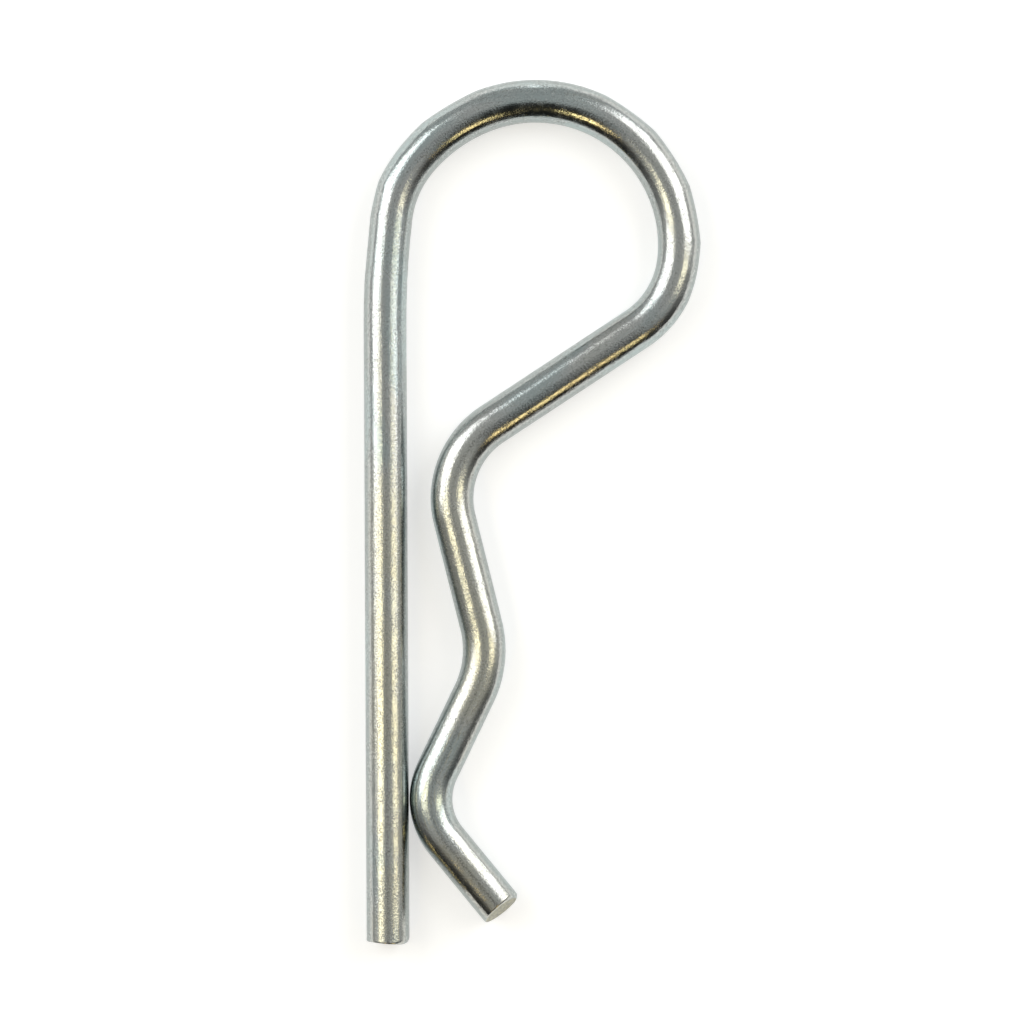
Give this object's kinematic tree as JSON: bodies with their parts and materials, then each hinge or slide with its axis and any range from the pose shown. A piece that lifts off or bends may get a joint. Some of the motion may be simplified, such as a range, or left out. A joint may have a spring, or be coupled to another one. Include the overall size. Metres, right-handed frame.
{
  "type": "hitch pin clip",
  "caption": "Hairpin spring clip of bent round zinc-plated wire: a straight leg goes through a hitch pin's cross hole and a bent arm grips the pin's side.",
  "frame": {"origin": "where the axis of the hitch pin that the clip locks meets the axis of the clip's straight leg, at the wire's centre", "axes": "+Y along the straight leg towards the bow, +X from the leg towards the arm, +Z along the hitch pin's axis, normal to the plane of the clip"},
  "size_m": [0.0313, 0.0802, 0.004],
  "materials": {
    "zinc_wire": "bright zinc plating with a clear passivate, faintly yellow and blue"
  },
  "bodies": {
    "leg": {"straight_leg": "zinc_wire", "upper_leg": "zinc_wire"},
    "shoulder": {"shoulder_sweep": "zinc_wire", "shoulder_bend": "zinc_wire", "crown_bend": "zinc_wire"},
    "bow_top": {"bow_top_bend": "zinc_wire"},
    "bow_side": {"bow_side_bend": "zinc_wire", "return_bend": "zinc_wire"},
    "arm": {"return_run": "zinc_wire", "neck_bend": "zinc_wire"},
    "grip": {"upper_run": "zinc_wire", "seat_bend": "zinc_wire", "lower_run": "zinc_wire", "heel_bend": "zinc_wire", "toe": "zinc_wire"}
  },
  "joints": [
    {"name": "shoulder_flex", "type": "hinge", "parent": "leg", "child": "shoulder", "pos_m": [-0.002, 0.0302, 0], "axis": [0, 0, 1], "range_deg": [0, 1.95], "stiffness_Nm_per_rad": 341},
    {"name": "crown_flex", "type": "hinge", "parent": "shoulder", "child": "bow_top", "pos_m": [0.0087, 0.0519, 0], "axis": [0, 0, 1], "range_deg": [0, 1.54]},
    {"name": "bow_flex", "type": "hinge", "parent": "bow_top", "child": "bow_side", "pos_m": [0.02343, 0.04961, 0], "axis": [0, 0, 1], "range_deg": [0, 1.4]},
    {"name": "return_flex", "type": "hinge", "parent": "bow_side", "child": "arm", "pos_m": [0.02442, 0.02798, 0], "axis": [0, 0, 1], "range_deg": [0, 1.45]},
    {"name": "neck_flex", "type": "hinge", "parent": "arm", "child": "grip", "pos_m": [0.00832, 0.01252, 0], "axis": [0, 0, 1], "range_deg": [0, 1.15]}
  ],
  "couplings": [
    {"joint": "crown_flex", "follows": "shoulder_flex", "ratio": 0.792},
    {"joint": "bow_flex", "follows": "shoulder_flex", "ratio": 0.715},
    {"joint": "return_flex", "follows": "shoulder_flex", "ratio": 0.744},
    {"joint": "neck_flex", "follows": "shoulder_flex", "ratio": 0.587}
  ]
}
